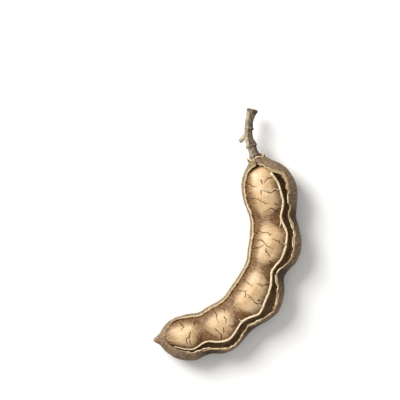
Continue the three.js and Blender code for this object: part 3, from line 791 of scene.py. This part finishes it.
# degrees round the pulp: above its side at the start, to and fro, and from the string to a branch's tip
ANGLE_AT_FOOT = 50
STRING_WOBBLE = 2.5
BRANCH_TURN = 26
BRANCH_SEGMENTS = 12
BRANCH_RINGS = 60
# share of the length where each branch leaves, and its drift along the pod
BRANCHES = [
    (0.138, -0.012),
    (0.248, 0.024),
    (0.334, -0.006),
    (0.572, -0.006),
    (0.655, 0.004),
]


def string_angle(share):
    """The angle round the pulp that the string lies at."""
    come_down = (ANGLE_AT_FOOT - STRING_ANGLE) * eased(share, STRING_FROM, STRING_DOWN_AT)
    return np.radians(ANGLE_AT_FOOT - come_down)


def add_strand(name, line, radius, segments, rings):
    """A round strand along a line of points in metres, closed to a dome at both ends."""
    bpy.ops.object.select_all(action="DESELECT")
    bpy.ops.mesh.primitive_uv_sphere_add(segments=segments, ring_count=rings, radius=1)
    strand = bpy.context.object
    strand.name = name
    ball = points_of(strand)
    share = np.arccos(np.clip(ball[:, 2], -1, 1)) / math.pi
    turn = np.arctan2(ball[:, 1], ball[:, 0])
    steps = np.linspace(0, 1, len(line))
    middle = np.stack([np.interp(share, steps, line[:, k]) for k in range(3)], axis=1)
    way = np.gradient(line, axis=0)
    way = np.stack([np.interp(share, steps, way[:, k]) for k in range(3)], axis=1)
    way /= np.linalg.norm(way, axis=1)[:, None]
    side = np.cross([0.0, 0.0, 1.0], way)
    side /= np.linalg.norm(side, axis=1)[:, None]
    over = np.cross(way, side)
    size = radius(share, turn)[:, None]
    turn = turn[:, None]
    move_points(strand, middle + side * size * np.cos(turn) + over * size * np.sin(turn))
    return strand


def join_and_fuse(pieces, name, voxel):
    """Join strands whose roots sink into each other, and fuse them into one skin of voxels in mm."""
    bpy.ops.object.select_all(action="DESELECT")
    for strand in pieces:
        strand.select_set(True)
    bpy.context.view_layer.objects.active = pieces[0]
    bpy.ops.object.join()
    piece = bpy.context.object
    piece.name = name
    fuse = piece.modifiers.new("fuse", "REMESH")
    fuse.mode = "VOXEL"
    fuse.voxel_size = voxel / 1000
    bpy.ops.object.modifier_apply(modifier="fuse")
    even = piece.modifiers.new("even", "SMOOTH")
    even.iterations = 2
    bpy.ops.object.modifier_apply(modifier="even")
    return piece


def string_radius(share, turn):
    """The string's radius in metres: uneven, thin at its end, with fibres twisting round it."""
    swell = 0.94 + 0.1 * np.sin(share * 95) * np.sin(share * 37 + 1)
    fibres = 0.05 * np.sin(turn * 4 + share * 130)
    size = STRING_RADIUS * (swell + fibres) * (1 - 0.6 * share ** 7)
    return size / 1000 * opened(share, 0, 1, 0.004, 0.004)


def branch_radius(share, turn):
    """A branch's radius in metres: it flares where it leaves the string, and thins to a point."""
    return (0.4 - 0.26 * share + 0.25 * np.exp(-share * 7)) / 1000 * opened(share, 0, 1, 0.02, 0.2)


cord_share = np.linspace(STRING_FROM, STRING_TO, 500)
wobble = np.radians(STRING_WOBBLE) * grain(3.0, cord_share * AXIS_LENGTH, 30.0)
cord = on_pulp(cord_share, string_angle(cord_share) + wobble, STRING_LIFT)
string_strands = [add_strand("string_cord", cord, string_radius, STRING_SEGMENTS, STRING_RINGS)]
for leaves_at, drift in BRANCHES:
    reached = np.linspace(0, 1, 30)
    branch_share = leaves_at + drift * reached
    branch_angle = string_angle(branch_share) + np.radians(BRANCH_TURN) * reached
    branch = on_pulp(branch_share, branch_angle, STRING_LIFT - 0.45 * reached)
    string_strands.append(add_strand("branch", branch, branch_radius, BRANCH_SEGMENTS, BRANCH_RINGS))
string = join_and_fuse(string_strands, "string_fibre", STRING_VOXEL)


def dried_fibre():
    """The pod's vein fibre, dried like raffia: pale straw, faintly streaked, with a low sheen."""
    material, tree = new_material("dried_vein_fibre")
    place = add_node(tree, "TexCoord").outputs["Object"]
    # Fibres of 0.2 mm are too fine to show, so these streaks are 0.7 mm
    streaks = add_node(tree, "TexNoise", {}, {
        "Vector": place, "Scale": 1400.0, "Detail": 4.0,
    }).outputs["Fac"]
    base = add_node(tree, "ValToRGB", {
        "stops": [(0.32, "#C2A67C"), (0.55, "#E4D1AC"), (0.7, "#F0E3C6")],
    }, {"Fac": streaks}).outputs["Color"]
    bump = add_node(tree, "Bump", {}, {"Height": streaks, "Strength": 0.35, "Distance": 0.00012})
    shader = add_node(tree, "BsdfPrincipled", {}, {
        "Base Color": base, "Roughness": 0.55, "IOR": 1.5, "Normal": bump.outputs["Normal"],
    })
    add_node(tree, "OutputMaterial", {}, {"Surface": shader.outputs["BSDF"]})
    return material


clean_up(string)
string.data.materials.append(dried_fibre())
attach(string, "root")
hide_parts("string")

# The stalk: the short woody twig that the pod hung from, with a ring at each old leaf joint.
# It stands in the collar, keeps the snapped stub of a side twig, and ends where it came off the branch.
# x, y and radius
STALK = [
    (15.0, 35.2, 1.7),
    (14.7, 36.3, 2.0),
    (14.2, 37.6, 2.05),
    (13.5, 39.4, 2.5),
    (12.5, 42.0, 2.25),
    (12.0, 43.6, 2.3),
    (11.7, 44.4, 2.75),
    (11.2, 46.0, 2.45),
    (10.4, 48.4, 2.0),
    (10.1, 51.6, 2.0),
    (10.3, 53.2, 2.3),
    (10.4, 54.4, 1.95),
    (10.8, 57.4, 1.95),
    (11.5, 60.2, 2.3),
    (12.0, 61.8, 2.75),
    (12.3, 63.0, 2.5),
]
# the rings of old leaf joints: place counted along that list, and height
STALK_JOINTS = [
    (3.2, 0.3),
    (6.0, 0.3),
    (10.0, 0.3),
    (14.1, 0.14),
]
STALK_HEIGHT = 11.4
STALK_SEGMENTS = 64
STALK_RINGS = 420
STALK_VOXEL = 0.16
# the stub of the side twig: where its middle line starts inside the stalk, its way and its length
STUB_FROM = (9.8, 50.8)
STUB_WAY = (-0.68, -0.73)
STUB_LENGTH = 6.0
STUB_ARCH = 0.25
STUB_SEGMENTS = 24
STUB_RINGS = 120
# bare wood shows within these distances in metres of the stalk's top and the stub's tip, on faces that
# face the end's way by this much
TOP_DEPTH = 0.0003
TIP_REACH = 0.002
FACES_END = 0.6


def stalk_radius(share, turn):
    """The stalk's radius in metres, with shallow furrows along it, low bumps, and a flat broken top."""
    place = share * (len(STALK) - 1)
    size = smooth_between(range(len(STALK)), [r for _, _, r in STALK], place)
    # Each ring has a shallow groove on its lower side
    for joint, ring in STALK_JOINTS:
        size = size + ring * np.exp(-((place - joint) / 0.22) ** 2)
        size = size - 0.9 * ring * np.exp(-((place - joint + 0.5) / 0.2) ** 2)
    furrows = 0.09 * np.sin(turn * 7 + 2 * np.sin(share * 9)) + 0.05 * np.sin(turn * 13 + share * 20)
    bumps = 0.1 * grain(1.5, share * 30, 2.2 * np.cos(turn), 2.2 * np.sin(turn))
    return (size + furrows + bumps) / 1000 * opened(share, 0, 1, 0.006, 0.012)


def stub_radius(share, turn):
    """The stub's radius in metres: it thins a little to its snapped end."""
    size = 1.7 - 0.7 * np.sqrt(share) + 0.06 * np.sin(turn * 5)
    return size / 1000 * opened(share, 0, 1, 0.05, 0.03)


stalk_keys = np.array([(x - CENTRE[0], y - CENTRE[1], STALK_HEIGHT) for x, y, _ in STALK])
along_stalk = np.linspace(0, len(STALK) - 1, 200)
stalk_line = [smooth_between(range(len(STALK)), stalk_keys[:, k], along_stalk) for k in range(3)]
stalk_line = np.stack(stalk_line, axis=1) / 1000
along_stub = np.linspace(0, 1, 40)
stub_line = np.stack([
    STUB_FROM[0] - CENTRE[0] + STUB_WAY[0] * STUB_LENGTH * along_stub,
    STUB_FROM[1] - CENTRE[1] + STUB_WAY[1] * STUB_LENGTH * along_stub,
    STALK_HEIGHT + STUB_ARCH * np.sin(along_stub * 3),
], axis=1) / 1000
stalk_strands = [
    add_strand("stalk_twig", stalk_line, stalk_radius, STALK_SEGMENTS, STALK_RINGS),
    add_strand("stub", stub_line, stub_radius, STUB_SEGMENTS, STUB_RINGS),
]
stalk = join_and_fuse(stalk_strands, "stalk_wood", STALK_VOXEL)


def twig_bark():
    """Young tamarind bark: grey-brown and matt, finely furrowed, dotted with pale pores."""
    material, tree = new_material("young_twig_bark")
    place = add_node(tree, "TexCoord").outputs["Object"]
    # Furrows 0.7 mm wide and 3 mm long, patches of 4 mm and pores 1.6 mm apart
    along = add_node(tree, "Mapping", {}, {"Vector": place, "Scale": (1.0, 0.2, 1.0)}).outputs["Vector"]
    furrows = add_node(tree, "TexNoise", {}, {
        "Vector": along, "Scale": 1500.0, "Detail": 5.0, "Roughness": 0.65,
    }).outputs["Fac"]
    patches = add_node(tree, "TexNoise", {}, {
        "Vector": place, "Scale": 260.0, "Detail": 3.0,
    }).outputs["Fac"]
    pores = add_node(tree, "TexVoronoi", {}, {"Vector": place, "Scale": 620.0}).outputs["Distance"]
    base = add_node(tree, "ValToRGB", {
        "stops": [(0.32, "#524335"), (0.52, "#705D49"), (0.7, "#94806A")],
    }, {"Fac": patches}).outputs["Color"]
    # Painted light: the left side, towards the lamp, is painted pale grey in patches
    sunned = add_node(tree, "Attribute", {"attribute_name": "sunned"}).outputs["Fac"]
    pale = add_node(tree, "Math", {"operation": "MULTIPLY_ADD", "use_clamp": True}, {
        0: patches, 1: 1.6, 2: -0.25,
    }).outputs["Value"]
    pale = add_node(tree, "Math", {"operation": "MULTIPLY"}, {0: pale, 1: sunned}).outputs["Value"]
    base = add_node(tree, "Mix", OVER, {0: pale, 6: base, 7: colour("#D6C6A8")}).outputs[2]
    dark = add_node(tree, "ValToRGB", {
        "stops": [(0.4, "#505050"), (0.56, "#FFFFFF")],
    }, {"Fac": furrows}).outputs["Color"]
    skin = add_node(tree, "Mix", DARKEN, {0: 0.85, 6: base, 7: dark}).outputs[2]
    dots = add_node(tree, "ValToRGB", {
        "stops": [(0.1, "#FFFFFF"), (0.2, "#000000")],
    }, {"Fac": pores}).outputs["Color"]
    skin = add_node(tree, "Mix", OVER, {0: dots, 6: skin, 7: colour("#B7A58C")}).outputs[2]
    bump = add_node(tree, "Bump", {}, {"Height": furrows, "Strength": 0.7, "Distance": 0.0003})
    shader = add_node(tree, "BsdfPrincipled", {}, {
        "Base Color": skin, "Roughness": 0.82, "IOR": 1.5, "Normal": bump.outputs["Normal"],
    })
    add_node(tree, "OutputMaterial", {}, {"Surface": shader.outputs["BSDF"]})
    return material


def snapped_wood():
    """Freshly snapped twig wood at the stub's and the stalk's ends: pale, dry and fibrous."""
    material, tree = new_material("snapped_twig_wood")
    place = add_node(tree, "TexCoord").outputs["Object"]
    # Its fibres are too fine to show, so these lumps are 0.45 mm
    fibres = add_node(tree, "TexNoise", {}, {
        "Vector": place, "Scale": 2200.0, "Detail": 4.0,
    }).outputs["Fac"]
    base = add_node(tree, "ValToRGB", {
        "stops": [(0.35, "#A98C66"), (0.6, "#D8C29A")],
    }, {"Fac": fibres}).outputs["Color"]
    shader = add_node(tree, "BsdfPrincipled", {}, {"Base Color": base, "Roughness": 0.85, "IOR": 1.5})
    add_node(tree, "OutputMaterial", {}, {"Surface": shader.outputs["BSDF"]})
    return material


clean_up(stalk)
# Painted light: the stalk's side towards the lamp, on the left, is painted paler
stalk_points = points_of(stalk)
nearest = np.argmin(np.linalg.norm(stalk_points[:, None, :2] - stalk_line[None, :, :2], axis=2), axis=1)
stalk_way = np.gradient(stalk_line, axis=0)
stalk_way /= np.linalg.norm(stalk_way, axis=1)[:, None]
stalk_left = np.stack([-stalk_way[:, 1], stalk_way[:, 0]], axis=1)[nearest]
to_left = np.sum((stalk_points[:, :2] - stalk_line[nearest, :2]) * stalk_left, axis=1) * 1000
add_values(stalk, sunned=eased(to_left, -0.1, 1.6))
stalk.data.materials.append(twig_bark())
stalk.data.materials.append(snapped_wood())
top = Vector(stalk_line[-1])
top_way = Vector(stalk_line[-1] - stalk_line[-2]).normalized()
tip = Vector(stub_line[-1])
tip_way = Vector(stub_line[-1] - stub_line[-2]).normalized()
for face in stalk.data.polygons:
    at_top = (face.center - top).dot(top_way) > -TOP_DEPTH and face.normal.dot(top_way) > FACES_END
    at_tip = (face.center - tip).length < TIP_REACH and face.normal.dot(tip_way) > FACES_END
    if at_top or at_tip:
        face.material_index = 1
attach(stalk, "root")
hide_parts("stalk")

# The surface that the pod lies on: a sheet of pale matt card, large enough to have no edge in view.
# It is no part of the pod, and only shows its shadow and where it rests.
CARD_SIZE = 3.0
bpy.ops.object.select_all(action="DESELECT")
bpy.ops.mesh.primitive_plane_add(size=CARD_SIZE, location=(0, 0, 0))
card = bpy.context.object
card.name = "card"
paper, paper_tree = new_material("matt_white_card")
paper_look = {"Base Color": colour("#F4F3F0"), "Roughness": 0.9}
paper_shader = add_node(paper_tree, "BsdfPrincipled", {}, paper_look)
add_node(paper_tree, "OutputMaterial", {}, {"Surface": paper_shader.outputs["BSDF"]})
card.data.materials.append(paper)

# The light: a broad soft lamp up and to the left, which shades the pod's outer side as a window would.
# A weaker lamp overhead and a pale room keep the shadows open.
ROOM_STRENGTH = 0.36
# name, place and size in metres, and power in watts
LAMPS = [
    ("window_lamp", (-0.55, 0.45, 0.7), 0.5, 12.0),
    ("top_lamp", (0.05, 0.0, 1.1), 0.9, 2.6),
]
for lamp_name, lamp_place, lamp_size, lamp_power in LAMPS:
    bpy.ops.object.light_add(type="AREA", location=lamp_place)
    lamp = bpy.context.object
    lamp.name = lamp_name
    lamp.data.size = lamp_size
    lamp.data.energy = lamp_power
    towards_pod = Vector((0.0, 0.0, 0.01)) - Vector(lamp_place)
    lamp.rotation_euler = towards_pod.to_track_quat("-Z", "Y").to_euler()
room = bpy.data.worlds.new("room")
room.use_nodes = True
room.node_tree.nodes["Background"].inputs["Color"].default_value = colour("#FFFFFF")
room.node_tree.nodes["Background"].inputs["Strength"].default_value = ROOM_STRENGTH
bpy.context.scene.world = room
bpy.context.scene.view_settings.view_transform = "Standard"

# The camera: straight above, with a lens of about 135 mm, as a small thing on a table is photographed.
# The frame is 200 mm wide at half of the pod's height, and the pod stands to the right of its middle.
CAMERA_PLACE = (-0.01385, 0.01705)
CAMERA_HEIGHT = 0.76
FRAME_WIDTH = 0.2
FRAMED_HEIGHT = 0.0105
SENSOR_WIDTH = 36.0
bpy.ops.object.camera_add(location=(*CAMERA_PLACE, CAMERA_HEIGHT), rotation=(0, 0, 0))
camera = bpy.context.object
camera.data.sensor_width = SENSOR_WIDTH
camera.data.lens = SENSOR_WIDTH * (CAMERA_HEIGHT - FRAMED_HEIGHT) / FRAME_WIDTH
bpy.context.scene.camera = camera
